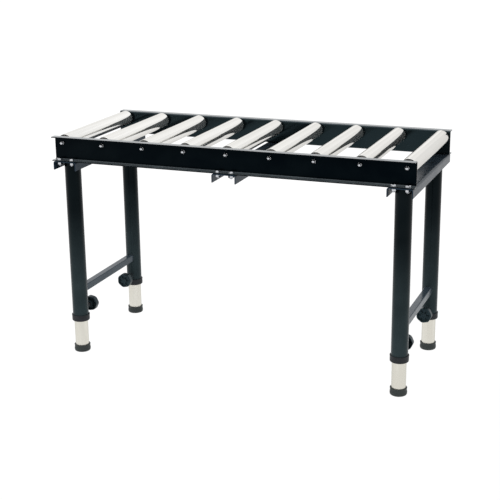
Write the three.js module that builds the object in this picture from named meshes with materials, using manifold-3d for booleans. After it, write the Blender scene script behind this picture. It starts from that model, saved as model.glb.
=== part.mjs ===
import * as THREE from "three";
import { mergeVertices } from "three/addons/utils/BufferGeometryUtils.js";
import Module from "manifold-3d";

const wasm = await Module();
wasm.setup();

// A roller table in millimetres: rails along X, rollers along Y, +Z up, the front at -Y.
// The origin is on the floor under the middle of the table.

// Fits: the gap between pieces that rest on each other, and how far a cut runs past a face
const seatGap = 0.3;
const cutOverrun = 1;
const weldTolerance = 1e-4;

// Rails, pressed channels that open outwards
const railLength = 1000;
const railHeight = 66;
const railDepth = 23.5;
const railSheet = 2.5;
const railBendRadius = 2.5;
const railSpacing = 385;

// Rollers, with an end cap and its bearing pressed into each end
const rollerCount = 9;
const endAxleInset = 24;
const rollerDiameter = 42;
const rollerWall = 2;
const rollerEndRoom = 9;
const rollerRise = 2.5;
const capRecess = 2;
const bearingWidth = 8;

// Axles: a plain rod between the webs, threaded ends through them, a cap nut on each end
const axleThread = 6;
const axleShoulder = 2;
const axleHoleRoom = 0.5;
const capNutFlats = 10;
const capNutHex = 5;
const capNutHeight = 12;
const capNutDome = 9.5;

// Cross channels, turned open side down under the rails
const channelWidth = 67;
const channelDepth = 24;
const channelSheet = 3;
const channelBendRadius = 3;
const endChannelInset = 3;

// Bolts that hold the rails' lower flanges to the cross channels
const frameBoltThread = 8;
const frameBoltHoleRoom = 0.5;
const frameBoltInset = 15.5;
const frameBoltFlats = 13;
const frameBoltHead = 5.3;
const frameNutHeight = 6.5;
const frameBoltTail = 3;

// Legs: an outer tube welded under each end of the outer cross channels, its outer side a little
// past the rail's web, and an inner tube sliding in it
const legProud = 0.75;
const legTubeDiameter = 44.5;
const legTubeWall = 2;
const legTubeLength = 461.5;
const legSlideRoom = 1.25;
const innerLegWall = 2;
const innerLegLength = 430;
const legExtension = 72.6;

// Collar on the outer tube's lower end
const collarHeight = 18;
const collarWall = 2.25;
const collarLip = 3;
const collarChamfer = 2.5;

// Foot cap on the inner tube's lower end
const footHeight = 20;
const footWall = 3;
const footBase = 4;
const footChamfer = 2;

// Lock: a nut welded to the outer tube, and a lobed knob whose stud clamps the inner tube
const lockRoom = 3;
const lockThread = 10;
const lockNutFlats = 17;
const lockNutHeight = 9;
const knobDiameter = 43;
const knobThickness = 17;
const knobLobes = 7;
const knobFluteDepth = 1;
const knobEdge = 3;
const knobHubDiameter = 20;
const knobHubLength = 6;
const knobStandoff = 48.5;

// Braces, square tubes between a front and a rear leg
const braceSize = 20;
const braceWall = 1.5;
const braceRise = 75;

// How finely round shapes are divided
const rollerSides = 20;
const legSides = 20;
const boltSides = 8;
const hexSides = 6;
const knobStepsPerLobe = 4;
const bendSteps = 3;

// Diameters of what sits in something else
const axleDiameter = axleThread + 2 * axleShoulder;
const innerLegDiameter = legTubeDiameter - 2 * (legTubeWall + legSlideRoom);

// Heights above the floor, from the foot cap up
const collarBottom = footHeight + legExtension;
const legTubeBottom = collarBottom + collarLip + seatGap;
const channelTop = legTubeBottom + legTubeLength + seatGap + channelSheet;
const railBottom = channelTop + seatGap;
const axleHeight = railBottom + railHeight + rollerRise - rollerDiameter / 2;
const lockHeight = collarBottom + collarHeight + lockRoom + lockNutFlats / 2;

// Places along and across the table
const rollerPitch = (railLength - 2 * endAxleInset) / (rollerCount - 1);
const legSpread = railSpacing + 2 * legProud - legTubeDiameter;
const endChannelPlace = railLength / 2 - endChannelInset - channelWidth / 2;
const frameBoltReach = (railSheet + railBendRadius + railDepth) / 2;
const frameBoltPlace = railSpacing / 2 + frameBoltReach;
const frameBoltSpacing = channelWidth - 2 * frameBoltInset;
const rollerPlaces = Array.from(
  { length: rollerCount },
  (_, i) => (i - (rollerCount - 1) / 2) * rollerPitch,
);

// Finishes
function finish(color, roughness, metalness) {
  return new THREE.MeshStandardMaterial({ color, roughness, metalness, flatShading: true });
}
const blackPaint = finish(0x14181b, 0.3, 0.2);
const legPaint = finish(0x2f393c, 0.45, 0.2);
const rollerSteel = finish(0xd6d6d2, 0.22, 0.95);
const brightTube = finish(0xcfccc2, 0.35, 0.85);
const zincPlate = finish(0xb9bcbd, 0.35, 0.9);
const blackPlastic = finish(0x17181a, 0.55, 0);
const footRubber = finish(0x2b3032, 0.75, 0);

// A closed geometry as a solid that can be joined and cut
function solidOf(geometry) {
  const bare = new THREE.BufferGeometry();
  bare.setAttribute("position", geometry.getAttribute("position"));
  bare.setIndex(geometry.getIndex());
  const merged = mergeVertices(bare, weldTolerance);
  const corners = merged.getIndex().array;
  const triVerts = [];
  for (let i = 0; i < corners.length; i += 3) {
    const [a, b, c] = [corners[i], corners[i + 1], corners[i + 2]];
    if (a !== b && b !== c && c !== a) triVerts.push(a, b, c);
  }
  return new wasm.Manifold(
    new wasm.Mesh({
      numProp: 3,
      vertProperties: merged.getAttribute("position").array,
      triVerts: new Uint32Array(triVerts),
    }),
  );
}

// A solid as a geometry again
function geometryOf(solid) {
  const mesh = solid.getMesh();
  const geometry = new THREE.BufferGeometry();
  geometry.setAttribute("position", new THREE.BufferAttribute(mesh.vertProperties, 3));
  geometry.setIndex(new THREE.BufferAttribute(mesh.triVerts, 1));
  geometry.computeVertexNormals();
  return geometry;
}

// Turns that bring the Y axis of a round geometry to X or to Z
const turns = {
  x: (geometry) => geometry.rotateZ(-Math.PI / 2),
  y: (geometry) => geometry,
  z: (geometry) => geometry.rotateX(Math.PI / 2),
};

// A solid rod from start to end along an axis, through the point (x, y, z) across it
function rod({ radius, start, end, axis, x = 0, y = 0, z = 0, sides = boltSides }) {
  const geometry = new THREE.CylinderGeometry(radius, radius, end - start, sides);
  geometry.translate(0, (start + end) / 2, 0);
  return solidOf(turns[axis](geometry).translate(x, y, z));
}

// The corner radius of a hexagon of a given size across its flats
function hexRadius(flats) {
  return flats / 2 / Math.cos(Math.PI / hexSides);
}

// A body of revolution about Y, from points listed as [radius, height] upwards on the outside
function revolve(points, sides) {
  return new THREE.LatheGeometry(points.map(([r, h]) => new THREE.Vector2(r, h)), sides);
}

// The section of a pressed channel: its web lies on x = 0 and its flanges reach to x = depth
function channelSection({ web, depth, sheet, bendRadius }) {
  const outer = bendRadius + sheet;
  const half = web / 2;
  const shape = new THREE.Shape();
  shape.moveTo(outer, -half);
  shape.lineTo(depth, -half);
  shape.lineTo(depth, sheet - half);
  shape.lineTo(outer, sheet - half);
  shape.absarc(outer, outer - half, bendRadius, -Math.PI / 2, -Math.PI, true);
  shape.lineTo(sheet, half - outer);
  shape.absarc(outer, half - outer, bendRadius, Math.PI, Math.PI / 2, true);
  shape.lineTo(depth, half - sheet);
  shape.lineTo(depth, half);
  shape.lineTo(outer, half);
  shape.absarc(outer, half - outer, outer, Math.PI / 2, Math.PI, false);
  shape.lineTo(0, outer - half);
  shape.absarc(outer, outer - half, outer, Math.PI, Math.PI * 1.5, false);
  return shape;
}

// A pressed channel of a given length, centred along Z
function channel({ length, ...section }) {
  const geometry = new THREE.ExtrudeGeometry(channelSection(section), {
    depth: length,
    curveSegments: bendSteps,
    bevelEnabled: false,
  });
  return solidOf(geometry.translate(0, 0, -length / 2));
}

// A rail with a hole for each axle in its web and for each frame bolt in its lower flange
function railGeometry() {
  let rail = channel({
    length: railLength,
    web: railHeight,
    depth: railDepth,
    sheet: railSheet,
    bendRadius: railBendRadius,
  });
  for (const place of rollerPlaces) {
    rail = rail.subtract(
      rod({
        radius: axleThread / 2 + axleHoleRoom,
        start: -cutOverrun,
        end: railSheet + cutOverrun,
        axis: "x",
        y: axleHeight - railBottom - railHeight / 2,
        z: place,
      }),
    );
  }
  for (const place of frameBoltPlaces()) {
    rail = rail.subtract(
      rod({
        radius: frameBoltThread / 2 + frameBoltHoleRoom,
        start: -railHeight / 2 - cutOverrun,
        end: -railHeight / 2 + railSheet + cutOverrun,
        axis: "y",
        x: frameBoltReach,
        z: place,
      }),
    );
  }
  return geometryOf(rail);
}

// Where the frame bolts stand along a rail
function frameBoltPlaces() {
  return [-endChannelPlace, 0, endChannelPlace].flatMap((middle) => [
    middle - frameBoltSpacing / 2,
    middle + frameBoltSpacing / 2,
  ]);
}

// A cross channel with the four bolt holes in its web
function crossChannelGeometry() {
  let cross = channel({
    length: railSpacing + 2 * railDepth,
    web: channelWidth,
    depth: channelDepth,
    sheet: channelSheet,
    bendRadius: channelBendRadius,
  });
  for (const across of [-frameBoltPlace, frameBoltPlace]) {
    for (const along of [-frameBoltSpacing / 2, frameBoltSpacing / 2]) {
      cross = cross.subtract(
        rod({
          radius: frameBoltThread / 2 + frameBoltHoleRoom,
          start: -cutOverrun,
          end: channelSheet + cutOverrun,
          axis: "x",
          y: along,
          z: across,
        }),
      );
    }
  }
  return geometryOf(cross);
}

// A hexagon bolt and its nut, pointing down, with z = 0 at the top face of the flange it clamps
function frameBoltGeometry() {
  const grip = railSheet + seatGap + channelSheet;
  const nutTop = -grip - seatGap;
  const corner = hexRadius(frameBoltFlats);
  const head = rod({
    radius: corner,
    start: seatGap,
    end: seatGap + frameBoltHead,
    axis: "z",
    sides: hexSides,
  });
  const nut = rod({
    radius: corner,
    start: nutTop - frameNutHeight,
    end: nutTop,
    axis: "z",
    sides: hexSides,
  });
  const shank = rod({
    radius: frameBoltThread / 2,
    start: nutTop - frameNutHeight - frameBoltTail,
    end: seatGap + frameBoltHead / 2,
    axis: "z",
  });
  return geometryOf(head.add(nut).add(shank));
}

// A roller about Y: its tube and, in each end, a recessed cap as thick as the bearing it holds
function rollerGeometry() {
  const half = railSpacing / 2 - rollerEndRoom;
  const capFace = half - capRecess;
  const bore = axleDiameter / 2 + seatGap;
  const inside = rollerDiameter / 2 - rollerWall;
  const end = [
    [inside, half],
    [inside, capFace],
    [bore, capFace],
    [bore, capFace - bearingWidth],
    [inside, capFace - bearingWidth],
  ];
  const otherEnd = end.map(([r, h]) => [r, -h]).reverse();
  const outside = [
    [rollerDiameter / 2, -half],
    [rollerDiameter / 2, half],
  ];
  return revolve([...outside, ...end, ...otherEnd, outside[0]], rollerSides);
}

// An axle about Y with a cap nut on each end
function axleGeometry() {
  const shoulder = railSpacing / 2 - seatGap;
  const nutSeat = railSpacing / 2 + railSheet + seatGap;
  const axle = rod({
    radius: axleDiameter / 2,
    start: -shoulder,
    end: shoulder,
    axis: "y",
    sides: rollerSides / 2,
  });
  const thread = rod({
    radius: axleThread / 2,
    start: -nutSeat - capNutHex / 2,
    end: nutSeat + capNutHex / 2,
    axis: "y",
  });
  const hexagon = rod({
    radius: hexRadius(capNutFlats),
    start: nutSeat,
    end: nutSeat + capNutHex,
    axis: "y",
    sides: hexSides,
  });
  const domeHeight = capNutHeight - capNutHex;
  const domeWaistShare = 0.5;
  const domeTopShare = 0.55;
  const dome = solidOf(
    revolve(
      [
        [0, nutSeat + capNutHex / 2],
        [capNutDome / 2, nutSeat + capNutHex / 2],
        [capNutDome / 2, nutSeat + capNutHex + domeHeight * domeWaistShare],
        [(capNutDome / 2) * domeTopShare, nutSeat + capNutHeight],
        [0, nutSeat + capNutHeight],
      ],
      boltSides,
    ),
  );
  const capNut = hexagon.add(dome);
  return geometryOf(axle.add(thread).add(capNut).add(capNut.rotate([180, 0, 0])));
}

// An outer leg tube standing on z = 0, with the lock nut welded to its inner side at +Y
function legTubeGeometry() {
  const radius = legTubeDiameter / 2;
  const lock = lockHeight - legTubeBottom;
  const outside = rod({ radius, start: 0, end: legTubeLength, axis: "z", sides: legSides });
  const bore = rod({
    radius: radius - legTubeWall,
    start: -cutOverrun,
    end: legTubeLength + cutOverrun,
    axis: "z",
    sides: legSides,
  });
  const nut = rod({
    radius: hexRadius(lockNutFlats),
    start: radius - legTubeWall,
    end: radius + lockNutHeight,
    axis: "y",
    z: lock,
    sides: hexSides,
  });
  const studHole = rod({
    radius: lockThread / 2 + seatGap,
    start: 0,
    end: radius + lockNutHeight + cutOverrun,
    axis: "y",
    z: lock,
    sides: rollerSides / 2,
  });
  return geometryOf(outside.add(nut).subtract(bore).subtract(studHole));
}

// The inner leg tube, standing on z = 0
function innerLegGeometry() {
  const outer = innerLegDiameter / 2;
  const inner = outer - innerLegWall;
  const profile = [
    [outer, 0],
    [outer, innerLegLength],
    [inner, innerLegLength],
    [inner, 0],
    [outer, 0],
  ];
  return turns.z(revolve(profile, legSides));
}

// The collar: a sleeve round the outer tube's end, with a lip under it that guides the inner tube
function collarGeometry() {
  const sleeve = legTubeDiameter / 2 + seatGap;
  const guide = innerLegDiameter / 2 + seatGap;
  const outer = sleeve + collarWall;
  const profile = [
    [guide, 0],
    [outer - collarChamfer, 0],
    [outer, collarChamfer],
    [outer, collarHeight],
    [sleeve, collarHeight],
    [sleeve, collarLip],
    [guide, collarLip],
    [guide, 0],
  ];
  return turns.z(revolve(profile, legSides));
}

// The foot cap: a cup pushed over the inner tube's end
function footCapGeometry() {
  const inner = innerLegDiameter / 2 + seatGap;
  const outer = inner + footWall;
  const profile = [
    [0, 0],
    [outer - footChamfer, 0],
    [outer, footChamfer],
    [outer, footHeight],
    [inner, footHeight],
    [inner, footBase],
    [0, footBase],
  ];
  return turns.z(revolve(profile, legSides));
}

// The outline of the knob's grip: lobes round a circle, from a cosine
function knobOutline(radius) {
  const count = knobLobes * knobStepsPerLobe;
  const points = [];
  for (let i = 0; i < count; i += 1) {
    const angle = (i / count) * Math.PI * 2;
    const dip = (knobFluteDepth / 2) * (1 - Math.cos(knobLobes * angle));
    points.push(new THREE.Vector2(radius - dip, 0).rotateAround(new THREE.Vector2(), angle));
  }
  return new THREE.Shape(points);
}

// A lobed knob with its hub and stud about Z, with z = 0 at the leg's axis
function knobGeometry() {
  const gripStart = knobStandoff + knobHubLength;
  const grip = new THREE.ExtrudeGeometry(knobOutline(knobDiameter / 2 - knobEdge), {
    depth: knobThickness - 2 * knobEdge,
    bevelThickness: knobEdge,
    bevelSize: knobEdge,
    bevelSegments: 1,
  });
  grip.translate(0, 0, gripStart + knobEdge);
  const hub = rod({
    radius: knobHubDiameter / 2,
    start: knobStandoff,
    end: gripStart + knobEdge,
    axis: "z",
    sides: 2 * hexSides,
  });
  const stud = rod({
    radius: lockThread / 2,
    start: innerLegDiameter / 2 + seatGap,
    end: gripStart,
    axis: "z",
    sides: rollerSides / 2,
  });
  return geometryOf(solidOf(grip).add(hub).add(stud));
}

// A brace: a square tube along Y whose ends are cut to the legs' round
function braceGeometry() {
  const half = braceSize / 2;
  const bore = half - braceWall;
  const reach = legSpread / 2 - legTubeDiameter / 4;
  const section = new THREE.Shape();
  section.moveTo(-half, -half).lineTo(half, -half).lineTo(half, half).lineTo(-half, half);
  const hole = new THREE.Path();
  hole.moveTo(-bore, -bore).lineTo(-bore, bore).lineTo(bore, bore).lineTo(bore, -bore);
  section.holes.push(hole);
  const tube = new THREE.ExtrudeGeometry(section, { depth: 2 * reach, bevelEnabled: false });
  tube.translate(0, 0, -reach).rotateX(-Math.PI / 2);
  let brace = solidOf(tube);
  for (const y of [-legSpread / 2, legSpread / 2]) {
    brace = brace.subtract(
      rod({
        radius: legTubeDiameter / 2 + seatGap,
        start: -braceSize,
        end: braceSize,
        axis: "z",
        y,
        sides: legSides,
      }),
    );
  }
  return geometryOf(brace);
}

// A named mesh, placed in its parent
function place(parent, name, geometry, material, x, y, z) {
  const mesh = new THREE.Mesh(geometry, material);
  mesh.name = name;
  mesh.position.set(x, y, z);
  parent.add(mesh);
  return mesh;
}

// Turns a channel, whose flanges point along its X and whose web is its Y, to those directions
function aim(mesh, flanges, web) {
  const along = new THREE.Vector3().crossVectors(flanges, web);
  mesh.setRotationFromMatrix(new THREE.Matrix4().makeBasis(flanges, web, along));
}

// The front rail with its bolts, and the same turned half round for the rear
function addRails(table) {
  const rail = railGeometry();
  const bolt = frameBoltGeometry();
  for (const [side, turn] of [["front", 0], ["rear", Math.PI]]) {
    const group = new THREE.Group();
    group.rotation.z = turn;
    table.add(group);
    const y = -railSpacing / 2;
    const mesh = place(group, `${side}_rail`, rail, blackPaint, 0, y, railBottom + railHeight / 2);
    aim(mesh, new THREE.Vector3(0, -1, 0), new THREE.Vector3(0, 0, 1));
    frameBoltPlaces().forEach((x, i) => {
      const name = `frame_bolt_${side}_${i + 1}`;
      place(group, name, bolt, zincPlate, x, -frameBoltPlace, railBottom + railSheet);
    });
  }
}

// The three cross channels under the rails
function addCrossChannels(table) {
  const cross = crossChannelGeometry();
  const places = { left: -endChannelPlace, middle: 0, right: endChannelPlace };
  for (const [name, x] of Object.entries(places)) {
    const mesh = place(table, `cross_channel_${name}`, cross, blackPaint, x, 0, channelTop);
    aim(mesh, new THREE.Vector3(0, 0, -1), new THREE.Vector3(1, 0, 0));
  }
}

// The rollers on their axles
function addRollers(table) {
  const roller = rollerGeometry();
  const axle = axleGeometry();
  rollerPlaces.forEach((x, i) => {
    place(table, `roller_${i + 1}`, roller, rollerSteel, x, 0, axleHeight);
    place(table, `roller_axle_${i + 1}`, axle, zincPlate, x, 0, axleHeight);
  });
}

// A leg at each corner, its lock turned inwards, and a brace between the legs of each end
function addLegs(table) {
  const shapes = {
    tube: legTubeGeometry(),
    collar: collarGeometry(),
    inner: innerLegGeometry(),
    foot: footCapGeometry(),
    knob: knobGeometry(),
  };
  const brace = braceGeometry();
  for (const [end, x] of [["left", -endChannelPlace], ["right", endChannelPlace]]) {
    for (const [side, turn] of [["front", 0], ["rear", Math.PI]]) {
      const corner = `${side}_${end}`;
      const leg = new THREE.Group();
      leg.position.set(x, side === "front" ? -legSpread / 2 : legSpread / 2, 0);
      leg.rotation.z = turn;
      table.add(leg);
      place(leg, `leg_tube_${corner}`, shapes.tube, legPaint, 0, 0, legTubeBottom);
      place(leg, `leg_collar_${corner}`, shapes.collar, blackPlastic, 0, 0, collarBottom);
      place(leg, `inner_leg_${corner}`, shapes.inner, brightTube, 0, 0, footBase + seatGap);
      place(leg, `foot_cap_${corner}`, shapes.foot, footRubber, 0, 0, 0);
      const knob = place(leg, `lock_knob_${corner}`, shapes.knob, blackPlastic, 0, 0, lockHeight);
      knob.rotation.x = -Math.PI / 2;
    }
    const braceHeight = legTubeBottom + braceRise + braceSize / 2;
    place(table, `leg_brace_${end}`, brace, legPaint, x, 0, braceHeight);
  }
}

const table = new THREE.Group();
addRails(table);
addCrossChannels(table);
addRollers(table);
addLegs(table);

export default table;
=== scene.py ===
"""Looks of the roller table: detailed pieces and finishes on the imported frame, camera and light.

Sizes are in millimetres, as on the maker's drawing; each mesh is scaled to metres as it is made.
The camera and the lamps stand at places in metres.
"""

import math

import bmesh
import bpy
from mathutils import Matrix, Vector


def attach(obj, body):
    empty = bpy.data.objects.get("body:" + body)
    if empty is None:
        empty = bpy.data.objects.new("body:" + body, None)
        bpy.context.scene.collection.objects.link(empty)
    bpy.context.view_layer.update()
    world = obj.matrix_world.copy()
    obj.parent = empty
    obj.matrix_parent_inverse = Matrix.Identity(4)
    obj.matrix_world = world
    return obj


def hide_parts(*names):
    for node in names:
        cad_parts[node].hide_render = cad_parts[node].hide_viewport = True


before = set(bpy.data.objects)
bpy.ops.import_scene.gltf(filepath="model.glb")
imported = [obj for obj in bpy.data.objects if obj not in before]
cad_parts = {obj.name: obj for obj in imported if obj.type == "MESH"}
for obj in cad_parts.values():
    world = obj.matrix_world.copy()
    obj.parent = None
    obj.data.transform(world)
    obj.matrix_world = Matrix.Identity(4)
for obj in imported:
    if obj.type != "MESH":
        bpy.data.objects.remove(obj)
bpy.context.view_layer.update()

MM = 0.001

# Rails and cross channels
RAIL_LENGTH, RAIL_HEIGHT, RAIL_DEPTH, RAIL_SHEET, RAIL_BEND = 1000, 66, 23.5, 2.5, 2.5
RAIL_WEB = 192.5  # from the middle of the table to the inner face of a rail's web
RAIL_BOTTOM = 561
CHANNEL_WIDTH, CHANNEL_DEPTH, CHANNEL_SHEET, CHANNEL_BEND = 67, 24, 3, 3
CHANNEL_TOP = 560.7
CHANNEL_PLACES = {"left": -463.5, "middle": 0, "right": 463.5}
SHEET_EDGE = 0.35

# Frame bolts: two in each crossing
BOLT_THREAD, BOLT_HOLE, BOLT_FLATS, BOLT_HEAD = 4, 4.5, 13, 5.3
BOLT_NUT, BOLT_TAIL, BOLT_GRIP = 6.5, 3, 5.8
BOLT_OUT = 206.75  # from the middle of the table to a bolt's axis
BOLT_SPACING, BOLT_PITCH = 36, 1.25

# Rollers and axles
ROLLER_COUNT, ROLLER_PITCH, ROLLER_RADIUS, ROLLER_BORE, ROLLER_HALF = 9, 119, 21, 19, 183.5
AXLE_HEIGHT, AXLE_RADIUS, AXLE_THREAD, AXLE_HOLE = 608.5, 5, 3, 3.5
AXLE_SHOULDER, AXLE_TAIL = 192.2, 9
CAP_NUT_FLATS, CAP_NUT_HEX, CAP_NUT_DOME, CAP_NUT_HEIGHT, CAP_NUT_BORE = 10, 5, 4.75, 12, 7

# Legs, measured from a leg's own axis
LEG_X, LEG_Y = 463.5, 171
TUBE_RADIUS, TUBE_WALL, TUBE_BOTTOM, TUBE_LENGTH = 22.25, 2, 95.9, 461.5
INNER_RADIUS, INNER_WALL, INNER_BOTTOM, INNER_LENGTH = 19, 2, 4.3, 430
COLLAR_BOTTOM = 92.6
LOCK_HEIGHT, LOCK_HOLE = 122.1, 5.3
LOCK_NUT_FLATS, LOCK_NUT_BORE, LOCK_NUT_START, LOCK_NUT_END = 17, 5.2, 20.6, 31.25
STUD_RADIUS, STUD_PITCH, STUD_START, STUD_END = 5, 1.5, 19.3, 54.3
KNOB_RADIUS, KNOB_LOBES, KNOB_FLUTE, KNOB_RIBS = 21.5, 7, 1, 6
BRACE_HALF, BRACE_WALL, BRACE_HEIGHT, BRACE_CORNER = 10, 1.5, 180.9, 2.2

# Gaps that keep pieces which touch in the real thing from cutting into each other
THREAD_GAP, SEAT_GAP, TUBE_GAP = 0.05, 0.02, 0.3

# Sides of a round form: a tube, a knob, a small part, and a hole or shank
ROUND_SIDES, KNOB_SIDES, SMALL_SIDES, HOLE_SIDES = 72, 96, 48, 32
QUARTER_TURN = [math.radians(15 * k) for k in range(7)]
SAME_POINT = 1e-4  # points of a piece that are as close as this become one

# Name and place of each leg
CORNERS = [
    (f"{side}_{end}", x, y)
    for end, x in (("left", -LEG_X), ("right", LEG_X))
    for side, y in (("front", -LEG_Y), ("rear", LEG_Y))
]


# ---------------------------------------------------------------- shapes


def rounded(points, steps=4):
    """The points of an outline given as (x, y) or (x, y, corner radius)."""
    made = []
    for i, (x, y, *radius) in enumerate(points):
        corner = Vector((x, y))
        if not radius:
            made.append(corner)
            continue
        to_last = (Vector(points[i - 1][:2]) - corner).normalized()
        to_next = (Vector(points[(i + 1) % len(points)][:2]) - corner).normalized()
        half = to_last.angle(to_next) / 2
        centre = corner + (to_last + to_next).normalized() * radius[0] / math.sin(half)
        reach = radius[0] / math.tan(half)
        start = corner + to_last * reach - centre
        end = corner + to_next * reach - centre
        first = math.atan2(start.y, start.x)
        turn = math.remainder(math.atan2(end.y, end.x) - first, math.tau)
        for k in range(steps + 1):
            angle = first + turn * k / steps
            made.append(centre + radius[0] * Vector((math.cos(angle), math.sin(angle))))
    return made


def pipe(outer, inner, low, high, outer_edge, inner_edge):
    """The wall of a round tube as a closed profile of (radius, height), its edges rounded."""
    return rounded(
        [
            (outer, low, outer_edge),
            (outer, high, outer_edge),
            (inner, high, inner_edge),
            (inner, low, inner_edge),
        ]
    )


def square(half, corner):
    """A square's outline with rounded corners."""
    ends = ((-half, -half), (half, -half), (half, half), (-half, half))
    return rounded([(x, y, corner) for x, y in ends])


def ring(radius, height, sides=ROUND_SIDES):
    """Points about Z. Radius and height are numbers or functions of the angle.

    A radius of 0 is a pole.
    """
    if radius == 0:
        return [(0, 0, height)]
    points = []
    for angle in (math.tau * k / sides for k in range(sides)):
        r = radius(angle) if callable(radius) else radius
        z = height(angle) if callable(height) else height
        points.append((r * math.cos(angle), r * math.sin(angle), z))
    return points


def turned(profile, sides=ROUND_SIDES):
    """Rings of a body of revolution, from a profile of (radius, height)."""
    return [ring(radius, height, sides) for radius, height in profile]


def loft(bm, rings, place=None, closed=False):
    """Skins rings that have the same count of points, or one point for a pole."""
    place = place or Matrix()
    layers = [[bm.verts.new(place @ Vector(point)) for point in points] for points in rings]
    for lower, upper in zip(layers, layers[1:] + (layers[:1] if closed else [])):
        for k in range(max(len(lower), len(upper))):
            after = k + 1
            corners = dict.fromkeys(
                (
                    lower[k % len(lower)],
                    lower[after % len(lower)],
                    upper[after % len(upper)],
                    upper[k % len(upper)],
                )
            )
            if len(corners) > 2:
                bm.faces.new(corners)
    return bm


def prism(bm, outline, length, place):
    """A bar of one section, centred on its length along Z."""
    ends = [[(p.x, p.y, z) for p in outline] for z in (-length / 2, length / 2)]
    start = len(bm.verts)
    loft(bm, ends, place)
    bm.verts.ensure_lookup_table()
    count = len(outline)
    bm.faces.new(bm.verts[start : start + count])
    bm.faces.new(reversed(bm.verts[start + count : start + 2 * count]))
    return bm


def soften(bm, width, steps=2, least=40):
    """Rounds every edge that is sharper than an angle in degrees."""
    bmesh.ops.recalc_face_normals(bm, faces=bm.faces)
    sharp = [e for e in bm.edges if e.calc_face_angle(0) > math.radians(least)]
    bmesh.ops.bevel(
        bm,
        geom=sharp,
        offset=width,
        segments=steps,
        profile=0.5,
        affect="EDGES",
        clamp_overlap=True,
    )
    return bm


def hexagon(flats, limit=None):
    """The radius of a hexagon as a function of the angle, cut by a circle where one is given."""

    def radius(angle):
        side = math.remainder(angle, math.tau / 6)
        out = flats / 2 / math.cos(side)
        return out if limit is None else min(out, limit)

    return radius


def along(direction, centre):
    """Takes Z to a direction, and the origin to a centre."""
    turn = Vector((0, 0, 1)).rotation_difference(Vector(direction)).to_matrix().to_4x4()
    return Matrix.Translation(centre) @ turn


def facing(flanges, web, centre):
    """Takes a section's X to its flanges and its Y to its web."""
    x, y = Vector(flanges), Vector(web)
    z = x.cross(y)
    turn = Matrix((x, y, z)).transposed().to_4x4()
    return Matrix.Translation(centre) @ turn


def mesh_object(name, bm, material=None):
    """A finished bmesh in millimetres as an object in metres."""
    bmesh.ops.remove_doubles(bm, verts=bm.verts, dist=SAME_POINT)
    bmesh.ops.recalc_face_normals(bm, faces=bm.faces)
    bmesh.ops.scale(bm, vec=(MM, MM, MM), verts=bm.verts)
    mesh = bpy.data.meshes.new(name)
    bm.to_mesh(mesh)
    bm.free()
    if material:
        mesh.materials.append(material)
    obj = bpy.data.objects.new(name, mesh)
    bpy.context.scene.collection.objects.link(obj)
    return obj


def settle(obj):
    """Turns what an object's modifiers make into its plain mesh."""
    graph = bpy.context.evaluated_depsgraph_get()
    graph.update()
    mesh = bpy.data.meshes.new_from_object(obj.evaluated_get(graph))
    obj.modifiers.clear()
    obj.data = mesh
    return obj


def drill(obj, holes):
    """Cuts the bodies of a bmesh out of an object."""
    cutter = mesh_object("cutter", holes)
    cut = obj.modifiers.new("holes", "BOOLEAN")
    cut.operation, cut.solver, cut.object = "DIFFERENCE", "EXACT", cutter
    settle(obj)
    bpy.data.objects.remove(cutter)
    return obj


def piece(obj, body, slot, *nodes, sharp=32):
    """Shades a piece, carries it on a body and lets it stand for CAD nodes."""
    obj.data.shade_smooth()
    obj.data.set_sharp_from_angle(angle=math.radians(sharp))
    even = obj.modifiers.new("even shading", "WEIGHTED_NORMAL")
    even.keep_sharp = True
    settle(obj)
    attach(obj, body)
    if nodes:
        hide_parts(*nodes)
    return obj


# ---------------------------------------------------------------- node trees


class Tree:
    """A short way to add and link the nodes of one tree, by socket identifier."""

    def __init__(self, base):
        self.base = base

    def add(self, kind, inputs=None, out=None, **settings):
        node = self.base.nodes.new(kind)
        for name, value in settings.items():
            setattr(node, name, value)
        for name, value in (inputs or {}).items():
            socket = next(s for s in node.inputs if s.identifier == name)
            if isinstance(value, bpy.types.NodeSocket):
                self.base.links.new(value, socket)
            else:
                socket.default_value = value
        if not node.outputs:
            return node
        return next(s for s in node.outputs if out in (None, s.identifier) and s.enabled)

    def math(self, operation, a, b=0.0):
        return self.add("ShaderNodeMath", {"Value": a, "Value_001": b}, operation=operation)


def spread(tree, value, low, high, start=0.35, end=0.65):
    """A value taken from one range, at first the usual one of noise, to another."""
    return tree.add(
        "ShaderNodeMapRange",
        {"Value": value, "From Min": start, "From Max": end, "To Min": low, "To Max": high},
        out="Result",
    )


def noise(tree, coordinates, size, stretch=(1, 1, 1), *, detail):
    """Noise whose lumps are about a size in millimetres, drawn out along an axis by stretch."""
    mapped = tree.add(
        "ShaderNodeMapping", {"Vector": coordinates, "Scale": [1 / s for s in stretch]}
    )
    return tree.add(
        "ShaderNodeTexNoise",
        {"Vector": mapped, "Scale": 1 / (size * MM), "Detail": detail},
        out="Fac",
    )


def blend(tree, factor, a, b):
    """A colour between two colours."""
    return tree.add(
        "ShaderNodeMix",
        {"Factor_Float": factor, "A_Color": a, "B_Color": b},
        out="Result_Color",
        data_type="RGBA",
    )


# Where the effects of a finish start and end
EDGE_LEVELS = (0.8, 0.985)  # cosine between the softened and the true normal: an edge, a flat
CHIP_LEVELS = (0.42, 0.6)  # noise: whole paint, rubbed paint
UPWARD_LEVELS = (0.3, 0.75)  # height of the normal: clean, dusty and lit: dust with a painted highlight
DUST_AND_HIGHLIGHT_PATCHES, FLOOR_REFLECTION_PATCHES = (0.6, 1.0), (0.75, 1.0)  # least and most cover
GRAIN_ROUGHNESS, BUMP_STRENGTH = 0.02, 0.6
CHIPS_PER_PATCH = 6


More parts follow.
